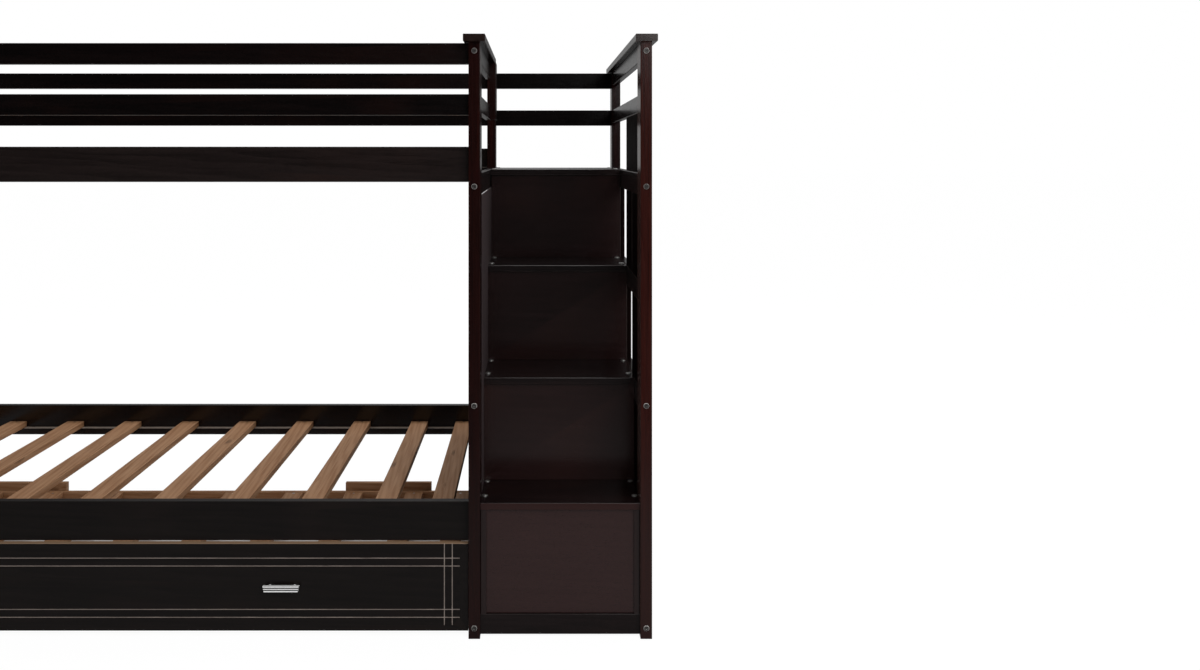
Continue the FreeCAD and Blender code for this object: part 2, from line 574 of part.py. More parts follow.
def rear_rail(top, height):
    """Cross rail between the rear posts, under the rear edge of a shelf."""
    rear = BACK_FACE
    front = rear - REAR_RAIL_THICKNESS
    add("stair_rear_rails", board(STAIR_X0, STAIR_X1, front, rear, top - height, top))
    for x, post in ((STAIR_X0, "middle_rear_post"), (STAIR_X1, "right_rear_post")):
        dowel(post, "stair_rear_rails", (x, (front + rear) / 2, top - height / 2), (1, 0, 0),
              SHORT_DOWEL_HALF_LENGTH)


def stair_panels():
    """Thin side panel on the middle frame, and thin back panel between the rear posts."""
    side_top = PLATFORM_TOP - SIDE_RAIL_HEIGHT
    add("stair_side_panel", box(MIDDLE_FACE, STAIR_X0, INNER_FRONT, INNER_REAR, FOOT_GAP, side_top))
    add("stair_back_panel", box(STAIR_X0 + BOARD_GAP, STAIR_X1 - BOARD_GAP, BACK_FACE,
                                BACK_FACE + BACK_PANEL_THICKNESS, FOOT_GAP, PLATFORM_TOP))
    rail_heights = [top - TREAD_THICKNESS - REAR_RAIL_HEIGHT / 2 for top in TREAD_TOPS]
    for z in rail_heights:
        for x in (STAIR_X0 + STAIR_WIDTH / 4, STAIR_X1 - STAIR_WIDTH / 4):
            screw("wood_screws", ["stair_back_panel", "stair_rear_rails"],
                  (x, BACK_FACE + BACK_PANEL_THICKNESS, z), (0, -1, 0), PANEL_SCREW_LENGTH)


def stair_guard_rails():
    """Two guard rails behind the platform, level with those of the bunk."""
    y0 = REAR - RAIL_INNER
    y = y0 + RAIL_THICKNESS / 2
    for bottom in (LOW_GUARD, HIGH_GUARD):
        top = bottom + GUARD_HEIGHT
        add("stair_guard_rails", board(STAIR_X0, STAIR_X1, y0, y0 + RAIL_THICKNESS, bottom, top))
        z = (bottom + top) / 2
        rail_bolt("right_rear_post", "stair_guard_rails", STAIR_X1 + POST_WIDTH, y,
                  z - GUARD_BOLT_DROP, -1)
        for offset in STAIR_GUARD_DOWELS:
            dowel("middle_rear_post", "stair_guard_rails", (STAIR_X0, y, z + offset), (1, 0, 0),
                  SHORT_DOWEL_HALF_LENGTH)


# ---- trundle -------------------------------------------------------------------------------
def trundle():
    x0 = BED_X0 + TRUNDLE_END_GAP
    x1 = BED_X1 - TRUNDLE_END_GAP
    front = FRONT + TRUNDLE_SETBACK
    rear = REAR - TRUNDLE_REAR_SPACE
    panel_rear = front + TRUNDLE_FRONT_THICKNESS
    top = LOWER_RAIL_BOTTOM - TRUNDLE_TOP_GAP
    panel = board(x0, x1, front, panel_rear, TRUNDLE_FLOOR_GAP, top)
    add("trundle_front", panel.cut(Part.makeCompound(grooves(x0, x1, front, top))))
    slat_bottom = TRUNDLE_SLAT_TOP - SLAT_THICKNESS
    side_z = TRUNDLE_SLAT_TOP - TRUNDLE_SIDE_HEIGHT
    rail_front = rear - TRUNDLE_BOARD
    for side_x in (x0, x1 - TRUNDLE_BOARD):
        add("trundle_sides", board(side_x, side_x + TRUNDLE_BOARD, panel_rear, rail_front,
                                   side_z, TRUNDLE_SLAT_TOP))
        middle_x = side_x + TRUNDLE_BOARD / 2
        for share in (1, 3):
            z = side_z + (slat_bottom - side_z) * share / 4
            screw("trundle_screws", ["trundle_rails", "trundle_sides"], (middle_x, rear, z),
                  (0, -1, 0), TRUNDLE_BOARD + SCREW_LENGTH)
    add("trundle_rails", board(x0, x1, rail_front, rear, side_z, TRUNDLE_SLAT_TOP))
    inner0 = x0 + TRUNDLE_BOARD
    inner1 = x1 - TRUNDLE_BOARD
    for y0 in (panel_rear, rail_front - LEDGER_DEPTH):
        add("trundle_rails", board(inner0, inner1, y0, y0 + LEDGER_DEPTH,
                                    slat_bottom - LEDGER_HEIGHT, slat_bottom, SMALL_EDGE_RADIUS))
    stop_z1 = TRUNDLE_SLAT_TOP + STOP_BOARD_RISE
    for near in (BED_X0 + STOP_BOARD_PLACE, BED_X1 - STOP_BOARD_PLACE - STOP_BOARD_LENGTH):
        add("trundle_stops", board(near, near + STOP_BOARD_LENGTH, rear, rear + TRUNDLE_BOARD,
                                   stop_z1 - STOP_BOARD_HEIGHT, stop_z1))
        for share in (1, 3):
            head = (near + STOP_BOARD_LENGTH * share / 4, rear + TRUNDLE_BOARD, (side_z + slat_bottom) / 2)
            screw("trundle_screws", ["trundle_stops", "trundle_rails"], head, (0, -1, 0))
    for place in slat_places():
        x = BED_X0 + place
        add("trundle_slats", board(x - SLAT_WIDTH / 2, x + SLAT_WIDTH / 2, panel_rear + SLAT_END_GAP,
                                   rail_front - SLAT_END_GAP, slat_bottom, TRUNDLE_SLAT_TOP))
        for y in (panel_rear + LEDGER_DEPTH / 2, rail_front - LEDGER_DEPTH / 2):
            screw("trundle_screws", ["trundle_slats", "trundle_rails"], (x, y, TRUNDLE_SLAT_TOP),
                  (0, 0, -1))
    for place in (BED_LENGTH / 4, 3 * BED_LENGTH / 4):
        handle(BED_X0 + place, front, top - HANDLE_DROP)
    for x in (BED_X0 + SLAT_FIRST, BED_X1 - SLAT_FIRST):
        for y in (front + CASTER_FRONT, rear - CASTER_REAR):
            caster(x, y, slat_bottom)


def grooves(x0, x1, front, top):
    """Pairs of fine grooves near the four edges of the trundle's front."""
    y0 = front - 1
    y1 = front + GROOVE_DEPTH
    cuts = []
    for first in (x0 + GROOVE_SIDE, x1 - GROOVE_SIDE - GROOVE_PAIR):
        for centre in (first, first + GROOVE_PAIR):
            cuts.append(box(centre - GROOVE_WIDTH / 2, centre + GROOVE_WIDTH / 2, y0, y1,
                            TRUNDLE_FLOOR_GAP + GROOVE_UPRIGHT_FOOT, top + 1))
    for first in (TRUNDLE_FLOOR_GAP + GROOVE_BOTTOM, top - GROOVE_TOP - GROOVE_PAIR):
        for centre in (first, first + GROOVE_PAIR):
            cuts.append(box(x0 + GROOVE_LYING_END, x1 - GROOVE_LYING_END, y0, y1,
                            centre - GROOVE_WIDTH / 2, centre + GROOVE_WIDTH / 2))
    return cuts


def handle(x, front, z):
    """A ridged metal bar with slanted ends, on two posts, with a screw in each post."""
    half = HANDLE_LENGTH / 2
    inner_y = front - HANDLE_STANDOFF
    outer_y = inner_y - HANDLE_THICKNESS
    low = z - HANDLE_HEIGHT / 2
    high = z + HANDLE_HEIGHT / 2
    outline = [(x - half + HANDLE_SLANT, low), (x + half - HANDLE_SLANT, low), (x + half, high),
               (x - half, high), (x - half + HANDLE_SLANT, low)]
    wire = Part.makePolygon([FreeCAD.Vector(px, inner_y, pz) for px, pz in outline])
    bar = Part.Face(wire).extrude(FreeCAD.Vector(0, -HANDLE_THICKNESS, 0))
    bar = bar.makeFillet(SMALL_EDGE_RADIUS, bar.Edges)
    valleys = [rod(HANDLE_RIDGE_RADIUS, (x - half - 1, outer_y, z + step), (1, 0, 0), HANDLE_LENGTH + 2)
               for step in (-HANDLE_HEIGHT / 6, HANDLE_HEIGHT / 6)]
    bar = bar.cut(Part.makeCompound(valleys))
    for side in (-1, 1):
        post_x = x + side * HANDLE_POST_SPACING / 2
        foot = rod(HANDLE_POST_RADIUS, (post_x, front, z), (0, -1, 0), HANDLE_STANDOFF + 1)
        bar = bar.fuse(foot)
    pin_holes = []
    for side in (-1, 1):
        post_x = x + side * HANDLE_POST_SPACING / 2
        back = (post_x, front + TRUNDLE_FRONT_THICKNESS, z)
        length = TRUNDLE_FRONT_THICKNESS + HANDLE_STANDOFF / 2
        shank = rod(SCREW_RADIUS, back, (0, -1, 0), length)
        head = rod(SCREW_HEAD_RADIUS, back, (0, 1, 0), SCREW_HEAD_HEIGHT)
        add("trundle_screws", head.fuse(shank).removeSplitter())
        pin_holes.append(shank)
        cut("trundle_front", shank)
    add("trundle_handles", bar.cut(Part.makeCompound(pin_holes)).removeSplitter())


# ---- casters -------------------------------------------------------------------------------
def caster(x, y, slat_bottom):
    """A fixed caster under a wooden block: plate with two cheeks, axle and wheel."""
    add("caster_blocks", board(x - CASTER_BLOCK_X / 2, x + CASTER_BLOCK_X / 2, y - CASTER_BLOCK_Y / 2,
                               y + CASTER_BLOCK_Y / 2, CASTER_PLATE_TOP, slat_bottom,
                               SMALL_EDGE_RADIUS))
    axle_z = WHEEL_RADIUS + WHEEL_FLOOR_GAP
    plate_z = CASTER_PLATE_TOP - CASTER_CHEEK
    bracket = box(x - CASTER_PLATE_X / 2, x + CASTER_PLATE_X / 2, y - CASTER_PLATE_Y / 2,
                  y + CASTER_PLATE_Y / 2, plate_z, CASTER_PLATE_TOP)
    inner = WHEEL_WIDTH / 2 + CASTER_SIDE_GAP
    for cheek_x in (x - inner - CASTER_CHEEK, x + inner):
        outline = [(y - CASTER_CHEEK_HALF, plate_z), (y + CASTER_CHEEK_HALF, plate_z),
                   (y + CASTER_FOOT_RADIUS, axle_z), (y - CASTER_FOOT_RADIUS, axle_z)]
        corners = [FreeCAD.Vector(cheek_x, py, pz) for py, pz in outline + outline[:1]]
        cheek = Part.Face(Part.makePolygon(corners)).extrude(FreeCAD.Vector(CASTER_CHEEK, 0, 0))
        foot = rod(CASTER_FOOT_RADIUS, (cheek_x, y, axle_z), (1, 0, 0), CASTER_CHEEK)
        bracket = bracket.fuse(cheek).fuse(foot)
    reach = inner + CASTER_CHEEK
    axle_line = rod(AXLE_RADIUS, (x - reach - 1, y, axle_z), (1, 0, 0), 2 * reach + 2)
    add("caster_brackets", bracket.cut(axle_line).removeSplitter())
    screw_x = CASTER_PLATE_X / 2 - CASTER_SCREW_INSET
    screw_y = CASTER_PLATE_Y / 2 - CASTER_SCREW_INSET
    for spot in [(x + side * screw_x, y + end * screw_y, plate_z) for side in (-1, 1) for end in (-1, 1)]:
        screw("trundle_screws", ["caster_brackets", "caster_blocks"], spot, (0, 0, 1),
              slat_bottom - CASTER_SCREW_TIP_GAP - plate_z)
    axle = rod(AXLE_RADIUS, (x - reach, y, axle_z), (1, 0, 0), 2 * reach)
    for head_x in (x - reach - SCREW_HEAD_HEIGHT, x + reach):
        axle = axle.fuse(rod(AXLE_HEAD_RADIUS, (head_x, y, axle_z), (1, 0, 0), SCREW_HEAD_HEIGHT))
    add("caster_axles", axle.removeSplitter())
    side = "left" if x < BED_X0 + BED_LENGTH / 2 else "right"
    row = "front" if y < 0 else "rear"
    add("wheel_%s_%s" % (row, side), wheel(x, y, axle_z))


def wheel(x, y, z):
    """A plain wheel with rounded shoulders, a recessed web and a bore for its axle."""
    half = WHEEL_WIDTH / 2
    solid = rod(WHEEL_RADIUS, (x - half, y, z), (1, 0, 0), WHEEL_WIDTH)
    rims = [edge for edge in solid.Edges if edge.Closed and edge.Length > 4 * WHEEL_RADIUS]
    solid = solid.makeFillet(WHEEL_ROUND, rims)
    for face_x, way in ((x - half, 1), (x + half, -1)):
        ring = rod(WHEEL_RADIUS - WHEEL_RIM, (face_x, y, z), (way, 0, 0), WHEEL_RECESS)
        hub = rod(WHEEL_HUB_RADIUS, (face_x, y, z), (way, 0, 0), WHEEL_RECESS)
        solid = solid.cut(ring.cut(hub))
    bore = rod(AXLE_RADIUS + AXLE_CLEARANCE, (x - half - 1, y, z), (1, 0, 0), WHEEL_WIDTH + 2)
    return solid.cut(bore)


# ---- the whole bed -------------------------------------------------------------------------
def build():
    for side in ("left", "middle", "right"):
        end_frame(side)
    middle_guard_stile()
    right_planks()
    two_bolts = (-RAIL_BOLT_SPREAD, RAIL_BOLT_SPREAD)
    rail_pair("upper_front_rail", "upper_rear_rail", UPPER_RAIL_BOTTOM, UPPER_RAIL_TOP, two_bolts)
    rail_pair("lower_front_rail", "lower_rear_rail", LOWER_RAIL_BOTTOM, LOWER_RAIL_TOP, two_bolts)
    for bottom in (LOW_GUARD, HIGH_GUARD):
        rail_pair("front_guard_rails", "rear_guard_rails", bottom, bottom + GUARD_HEIGHT,
                  (-GUARD_BOLT_DROP,))
    bunk_deck("upper", UPPER_RAIL_BOTTOM)
    bunk_deck("lower", LOWER_RAIL_BOTTOM)
    stairs()
    stair_panels()
    stair_guard_rails()
    trundle()


def finished(node):
    """The solids of a node, with the holes that reach them cut away."""
    solids = []
    for solid in pieces[node]:
        near = [hole for hole in holes.get(node, []) if hole.BoundBox.intersect(solid.BoundBox)]
        if near:
            solid = solid.cut(near)
        solids.extend(solid.Solids)
    return solids


def main():
    os.makedirs("parts", exist_ok=True)
    build()
    for node in sorted(pieces):
        solids = finished(node)
        shape = solids[0] if len(solids) == 1 else Part.makeCompound(solids)
        shape.exportStep("parts/%s.step" % node)
        bounds = shape.BoundBox
        print("%-20s %3d solids  x %8.1f %8.1f  y %8.1f %8.1f  z %8.1f %8.1f" % (
            node, len(solids), bounds.XMin, bounds.XMax, bounds.YMin, bounds.YMax,
            bounds.ZMin, bounds.ZMax))


main()
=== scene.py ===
"""Looks of the bunk bed with storage stairs: materials, light and camera.

Lengths are in metres. +X runs along the bed towards the stairs, +Y to the rear, +Z up.
Colours are linear red, green and blue.
"""
import math
import bmesh
import bpy
from mathutils import Euler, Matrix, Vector


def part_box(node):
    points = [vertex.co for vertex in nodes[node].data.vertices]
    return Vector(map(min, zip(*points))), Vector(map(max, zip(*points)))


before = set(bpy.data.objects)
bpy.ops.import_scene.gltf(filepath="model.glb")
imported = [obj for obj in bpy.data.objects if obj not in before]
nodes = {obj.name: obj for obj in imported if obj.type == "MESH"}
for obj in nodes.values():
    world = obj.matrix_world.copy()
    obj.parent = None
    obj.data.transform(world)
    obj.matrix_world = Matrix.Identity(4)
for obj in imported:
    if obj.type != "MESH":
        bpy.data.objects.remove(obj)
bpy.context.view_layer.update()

# ---- camera ------------------------------------------------------------------------------
IMAGE_WIDTH = 1200             # pixels
IMAGE_HEIGHT = 670
FOCAL_PIXELS = 1008.0
CENTRE_PIXEL = (536.5, 153.1)  # where the photograph's horizon meets its line of sight
SENSOR_WIDTH = 36.0            # millimetres
CAMERA_PLACE = (0.9186, -3.135, 1.2533)
CAMERA_TILT = (90.0, 0.0, 0.0)  # degrees

# ---- light -------------------------------------------------------------------------------
WHITE = (1.0, 1.0, 1.0, 1.0)   # its fourth part is opacity
WORLD_DIFFUSE = 0.55           # light on the object from the room
BACKDROP_SEEN = 1.0            # the backdrop, as the camera sees it
BACKDROP_GLOSS = 0.36          # the backdrop behind the object, in polished surfaces
BACKDROP_WAY = (0.80, 0.97)    # how squarely rearward a reflection goes where it begins, and is full
BACKDROP_SIDE = (-0.02, 0.10)  # how far towards +X one goes where it starts to dim, and is dimmest
BACKDROP_DIM = 0.45            # what is left of the backdrop there
ROOM_GLOSS = 0.02              # the rest of the room, in polished surfaces
CEILING_GLOSS = 0.80
CEILING_WAY = (0.55, 0.95)     # how squarely upward a reflection goes where it begins, and is full
FLOOR_REACH = 60.0             # half of the floor's width
FLOOR_COLOUR = (0.80, 0.80, 0.80)
FLOOR_ROUGHNESS = 0.9
FLOOR_SEEN = 1.06
FLOOR_GLOSS = 0.20             # the floor near the object, in polished surfaces
FLOOR_NEAR = (-2.4, -1.3)      # where the floor in front of the object fades to the room's dimness
FLOOR_GLOW = 0.90              # share of the floor's colour that no shadow reaches
SHADE_GLOW = 0.0               # the same, on the floor in the dark under the lower bunk
SHADE_X = (-1.15, -0.95, 0.70, 0.76)   # where that dark begins, is full, starts to fade, and ends
SHADE_Y = (-0.35, -0.10, 0.22, 0.44)
KEY_LIGHT = {"place": (2.6, -3.4, 3.0), "aim": (0.7, 0.0, 0.8), "size": 2.6, "power": 80.0}
TOP_LIGHT = {"place": (0.9, 1.6, 3.6), "aim": (0.7, 0.0, 0.7), "size": 2.4, "power": 50.0}

# ---- spans that several materials share ----------------------------------------------------
NOISE_SPAN = (0.3, 0.7)        # where nearly all of a noise's values lie
FACING = (0.60, 0.90)          # normal's part where a face starts to count as facing a way, and does
ASKEW = (0.995, 0.90)          # normal's largest part where it starts to count as askew, and does
BOARD_SHIFTS = (7.1, 13.7, 29.3)   # most that a board's grain is moved along X, Y and Z


# ---- shader building ---------------------------------------------------------------------
class Shader:
    """One material's node tree, with short calls for the nodes that are used often."""

    def __init__(self, name):
        self.material = bpy.data.materials.new(name)
        self.material.use_nodes = True
        self.tree = self.material.node_tree
        self.surface = self.tree.nodes["Principled BSDF"]

    def add(self, kind, inputs=(), **settings):
        node = self.tree.nodes.new(kind)
        for key, value in settings.items():
            setattr(node, key, value)
        for key, value in dict(inputs).items():
            self.put(node.inputs[key], value)
        return node

    def put(self, socket, value):
        """Sets a socket to a value, or links another node's output to it."""
        if isinstance(value, bpy.types.NodeSocket):
            self.tree.links.new(value, socket)
        elif isinstance(value, bpy.types.Node):
            self.tree.links.new(value.outputs[0], socket)
        else:
            socket.default_value = value

    def math(self, operation, first, second=0.0):
        return self.add("ShaderNodeMath", {0: first, 1: second}, operation=operation)

    def vector(self, operation, first, second=(0.0, 0.0, 0.0)):
        return self.add("ShaderNodeVectorMath", {0: first, 1: second}, operation=operation)

    def place(self):
        """Place on the object, in metres."""
        return self.add("ShaderNodeTexCoord").outputs["Object"]

    def normal(self):
        """The face's own direction."""
        return self.add("ShaderNodeNewGeometry").outputs["True Normal"]

    def split(self, vector):
        """A vector's parts, by the names X, Y and Z."""
        return self.add("ShaderNodeSeparateXYZ", {0: vector}).outputs

    def scale(self, value, low, high, out_low=0.0, out_high=1.0):
        """Maps low..high to out_low..out_high, and holds it there."""
        return self.add("ShaderNodeMapRange", {"Value": value, "From Min": low, "From Max": high,
                                               "To Min": out_low, "To Max": out_high})

    def band(self, value, places, base=0.0):
        """Rises from 0 to 1 between the first two places from base, and falls after the third."""
        start, full, fall, end = [base + place for place in places]
        return self.math("MULTIPLY", self.scale(value, start, full), self.scale(value, end, fall))

    def noise(self, vector, scale, detail, roughness, distortion=0.0):
        return self.add("ShaderNodeTexNoise", {"Vector": vector, "Scale": scale, "Detail": detail,
                                               "Roughness": roughness, "Distortion": distortion})

    def waves(self, vector, direction, scale, distortion, detail, detail_scale=1.0, profile="SIN"):
        """Wavering bands that follow each other along a direction: 0 to 1."""
        node = self.add("ShaderNodeTexWave", {"Vector": vector, "Scale": scale, "Distortion": distortion,
                                              "Detail": detail, "Detail Scale": detail_scale},
                        wave_type="BANDS", bands_direction=direction, wave_profile=profile)
        return node.outputs["Fac"]

    def ramp(self, value, places, colours):
        """A colour ramp that has each colour at its place."""
        node = self.add("ShaderNodeValToRGB", {"Fac": value})
        elements = node.color_ramp.elements
        while len(elements) < len(places):
            elements.new(places[1])
        for element, place, colour in zip(elements, places, colours):
            element.position = place
            element.color = (*colour, 1.0)
        return node

    def mix(self, amount, first, second, blend="MIX"):
        node = self.add("ShaderNodeMix", data_type="RGBA", blend_type=blend)
        self.put(node.inputs["Factor"], amount)
        for socket, value in ((node.inputs[6], first), (node.inputs[7], second)):
            is_colour = isinstance(value, tuple)
            self.put(socket, (*value, 1.0) if is_colour else value)
        return node.outputs[2]

    def bump(self, height, strength, distance, below=None):
        node = self.add("ShaderNodeBump", {"Height": height, "Strength": strength,
                                           "Distance": distance})
        if below is not None:
            self.put(node.inputs["Normal"], below)
        return node

    def rays(self):
        """Two switches: 1 for a ray straight from the camera or through glass, 1 for a reflected ray."""
        path = self.add("ShaderNodeLightPath").outputs
        return self.math("MAXIMUM", path["Is Camera Ray"], path["Is Transmission Ray"]), path["Is Glossy Ray"]

    def finish(self, **inputs):
        names = {"colour": "Base Color", "roughness": "Roughness", "normal": "Normal",
                 "metallic": "Metallic", "specular": "Specular IOR Level"}
        for key, value in inputs.items():
            if key == "colour" and isinstance(value, tuple):
                value = (*value, 1.0)
            self.put(self.surface.inputs[names[key]], value)
        return self.material


def board_coordinates(shader, along, stretch):
    """Object coordinates, drawn out along the grain, with each board at its own place in the tree."""
    place = shader.place()
    island = shader.add("ShaderNodeNewGeometry").outputs["Random Per Island"]
    offset = shader.add("ShaderNodeCombineXYZ", {axis: shader.math("MULTIPLY", island, shift)
                                                 for axis, shift in zip("XYZ", BOARD_SHIFTS)})
    moved = shader.vector("ADD", place, offset)
    drawn = shader.vector("MULTIPLY", moved, [1.0 if axis == along else stretch for axis in "XYZ"])
    return drawn.outputs[0], moved.outputs[0], island


def grain_level(shader, island, shares, figure, rings, fibres):
    """Figure, growth rings and fibres as one level, which differs a little from board to board."""
    level = shader.math("ADD", shader.math("MULTIPLY", figure, shares["figure"]),
                        shader.math("MULTIPLY", rings, shares["rings"]))
    level = shader.math("ADD", level, shader.math("MULTIPLY", fibres, shares["fibres"]))
    board = shader.math("MULTIPLY", shader.math("SUBTRACT", island, 0.5), shares["board"])
    return shader.math("ADD", level, board)


def normal_sizes(shader):
    """The size of each part of the face's own normal, by the names X, Y and Z."""
    return shader.split(shader.vector("ABSOLUTE", shader.normal()))


def facing(shader, axis):
    """1 on the faces that lie square to an axis."""
    return shader.scale(normal_sizes(shader)[axis], *FACING)


def patches(shader, place, scale, detail=3.0, span=(0.30, 0.65), least=0.55):
    """Uneven cover, between least and 1."""
    return shader.scale(shader.noise(place, scale, detail, roughness=0.6), *span, least, 1.0)


def painted_edge_highlights(shader, colour, edge_highlight, place):
    """Paints a highlight on the eased edges, the only faces that lie askew, unevenly along their length."""
    parts = normal_sizes(shader)
    largest = shader.math("MAXIMUM", shader.math("MAXIMUM", parts["X"], parts["Y"]), parts["Z"])
    askew = shader.scale(largest, *ASKEW)
    patchy = patches(shader, place, 14.0, detail=4.0, span=(0.30, 0.62), least=0.25)
    return shader.mix(shader.math("MULTIPLY", askew, patchy), colour, edge_highlight)


# ---- espresso-stained wood -----------------------------------------------------------------
# The tones are the one espresso stain, given as lighter and darker copies for the parts that wear it,
# each matched to the light that part gets: painted light and shade. Each tone: deepest pore, stain,
# lit stain, red of the stain where the timber shows through, and painted highlight on the eased
# edges, or None where none is painted.
ESPRESSO = {
    "post": ((0.0034, 0.0005, 0.0004), (0.0088, 0.0011, 0.0007), (0.0170, 0.0028, 0.0020),
             (0.027, 0.0036, 0.0018), None),
    "lit_right_post": ((0.0105, 0.0014, 0.0008), (0.0240, 0.0032, 0.0018), (0.0380, 0.0080, 0.0054),
                   (0.054, 0.0085, 0.0040), None),
    "cap": ((0.0060, 0.0026, 0.0020), (0.0130, 0.0060, 0.0046), (0.0230, 0.0120, 0.0100),
            (0.028, 0.010, 0.006), (0.080, 0.070, 0.066)),
    "guard": ((0.0010, 0.0004, 0.0004), (0.0027, 0.0010, 0.0010), (0.0052, 0.0024, 0.0023),
              (0.011, 0.003, 0.002), None),
    "far_guard": ((0.0010, 0.0004, 0.0004), (0.0022, 0.0010, 0.0010), (0.0044, 0.0024, 0.0023),
                  (0.008, 0.003, 0.002), None),
    "side": ((0.0030, 0.0018, 0.0017), (0.0066, 0.0040, 0.0038), (0.0110, 0.0070, 0.0066),
             (0.014, 0.006, 0.005), (0.060, 0.048, 0.044)),
    "plank": ((0.0016, 0.0008, 0.0007), (0.0044, 0.0020, 0.0018), (0.0080, 0.0042, 0.0038),
              (0.010, 0.003, 0.002), (0.120, 0.100, 0.094)),
    "rail": ((0.0050, 0.0029, 0.0026), (0.0115, 0.0072, 0.0066), (0.0180, 0.0115, 0.0105),
             (0.021, 0.010, 0.008), None),
    "front": ((0.0028, 0.0015, 0.0014), (0.0056, 0.0034, 0.0030), (0.0090, 0.0058, 0.0052),
              (0.012, 0.006, 0.005), None),
    "tread": ((0.0036, 0.0018, 0.0018), (0.0075, 0.0040, 0.0040), (0.0120, 0.0070, 0.0068),
              (0.014, 0.006, 0.005), (0.040, 0.032, 0.030)),
    "low_tread": ((0.0040, 0.0018, 0.0018), (0.0085, 0.0041, 0.0041), (0.0130, 0.0070, 0.0068),
                  (0.015, 0.006, 0.005), (0.018, 0.010, 0.009)),
    "panel": ((0.0085, 0.0030, 0.0028), (0.0135, 0.0054, 0.0052), (0.0185, 0.0082, 0.0080),
              (0.026, 0.009, 0.007), None),
    "mid_panel": ((0.0135, 0.0056, 0.0053), (0.0180, 0.0077, 0.0074), (0.0225, 0.0102, 0.0098),
                  (0.029, 0.011, 0.009), None),
    "low_panel": ((0.0232, 0.0092, 0.0087), (0.0258, 0.0104, 0.0099), (0.0284, 0.0118, 0.0112),
                  (0.034, 0.014, 0.012), None),
    "strip": ((0.0105, 0.0044, 0.0042), (0.0150, 0.0066, 0.0063), (0.0195, 0.0090, 0.0086),
              (0.022, 0.009, 0.008), None),
    "inner_panel": ((0.0420, 0.0290, 0.0300), (0.0640, 0.0455, 0.0475), (0.0820, 0.0600, 0.0620),
                    (0.088, 0.056, 0.055), None),
}
ESPRESSO_LEVELS = (0.28, 0.50, 0.76)   # grain levels of the pore, the stain and the lit stain
ESPRESSO_STRETCH = 16.0            # how much longer the grain's marks are than wide
ESPRESSO_SHARES = {"figure": 0.55, "rings": 0.14, "fibres": 0.30, "board": 0.12}
PORE_DEPTH = 0.8                   # relief of the pores against that of the fibres
LACQUER = (0.16, 0.26)             # least and most roughness of the satin lacquer
ROUGH = {"inner_panel": (0.40, 0.55), "front": (0.30, 0.42), "plank": (0.50, 0.65)}  # rougher tones
SHINE = 0.5                        # specular level of the lacquer, and below it of the duller tones
DULL = {"post": 0.32, "lit_right_post": 0.32, "front": 0.30, "inner_panel": 0.30, "far_guard": 0.20,
        "plank": 0.01}
KICK_SHINE = 0.30
STEP_SHINE = 0.34

BARE_TOP = (0.30, 0.19, 0.115)     # edge of a board that the stain left out
GROOVE_LINE = (0.46, 0.39, 0.35)   # pale line in a groove of the trundle front: partly bare wood, partly a painted highlight
# painted reflection of the floor on the right front post's foot
POST_FOOT_FLOOR_SHEEN = (0.0185, 0.0078, 0.0068)
# painted reflection on the right front post's inner side
POST_INSIDE_SHEEN = (0.060, 0.030, 0.025)
# painted light on the lowest step's front, as on the floor-lit riser below it
STEP_FRONT_LIGHT = (0.025, 0.0090, 0.0080)
# painted reflection on the slat ledgers' upper faces
LEDGER_TOP_SHEEN = (0.40, 0.33, 0.28)

TRUNDLE_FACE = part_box("trundle_front")[0].y
TRUNDLE_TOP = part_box("trundle_front")[1].z
# Depths behind the face where a groove's pale line begins, is full, starts to fade, and ends.
GROOVE_DEPTHS = (0.0004, 0.0008, 0.0028, 0.0032)
BARE_EDGE = (-0.002, -0.001)       # from the trundle's top, where the bare edge begins, and is full
FOOT_HEIGHTS = (0.60, 0.25)        # where the painted floor reflection on the right post's foot begins, and is strongest
FOOT_STRENGTH = 0.75


def espresso(tone, along, name=None, dress=None, shine=None):
    """Dark stained timber under a thin satin lacquer that fills most of the grain.

    A dress is called with the shader, the colour so far and the board's own place, and gives the
    new colour.
    """
    pore, stain, lit, red, edge_highlight = ESPRESSO[tone]
    shader = Shader(name or "espresso_%s_%s" % (tone, along))
    drawn, place, island = board_coordinates(shader, along, ESPRESSO_STRETCH)
    figure = shader.noise(drawn, scale=2.4, detail=6.0, roughness=0.62, distortion=0.9)
    rings = shader.waves(drawn, "DIAGONAL", scale=1.7, distortion=5.5, detail=3.0, detail_scale=1.1,
                         profile="SAW")
    fibres = shader.noise(drawn, scale=26.0, detail=5.0, roughness=0.72, distortion=0.2)
    pores = shader.noise(drawn, scale=64.0, detail=3.0, roughness=0.6)
    cloud = shader.noise(place, scale=2.6, detail=3.0, roughness=0.55)
    level = grain_level(shader, island, ESPRESSO_SHARES, figure, rings, fibres)
    colour = shader.ramp(level, ESPRESSO_LEVELS, (pore, stain, lit))
    redness = shader.scale(cloud, low=0.52, high=0.74, out_low=0.0, out_high=0.55)
    colour = shader.mix(redness, colour, red)
    flecks = shader.scale(pores, low=0.30, high=0.42, out_low=0.70, out_high=1.0)
    shade = shader.add("ShaderNodeCombineColor", {"Red": flecks, "Green": flecks, "Blue": flecks})
    colour = shader.mix(1.0, colour, shade, "MULTIPLY")
    # painted highlight on the eased edges, where the tone gives one
    if edge_highlight:
        colour = painted_edge_highlights(shader, colour, edge_highlight, place)
    if dress:
        colour = dress(shader, colour, place)
    roughness = shader.scale(fibres, *NOISE_SPAN, *ROUGH.get(tone, LACQUER))
    height = shader.math("ADD", fibres, shader.math("MULTIPLY", flecks, PORE_DEPTH))
    relief = shader.bump(height, strength=0.05, distance=0.0006)
    orange_peel = shader.noise(place, scale=190.0, detail=2.0, roughness=0.5)
    relief = shader.bump(orange_peel, strength=0.03, distance=0.0004, below=relief)
    return shader.finish(colour=colour, roughness=roughness, normal=relief,
                         specular=shine or DULL.get(tone, SHINE))


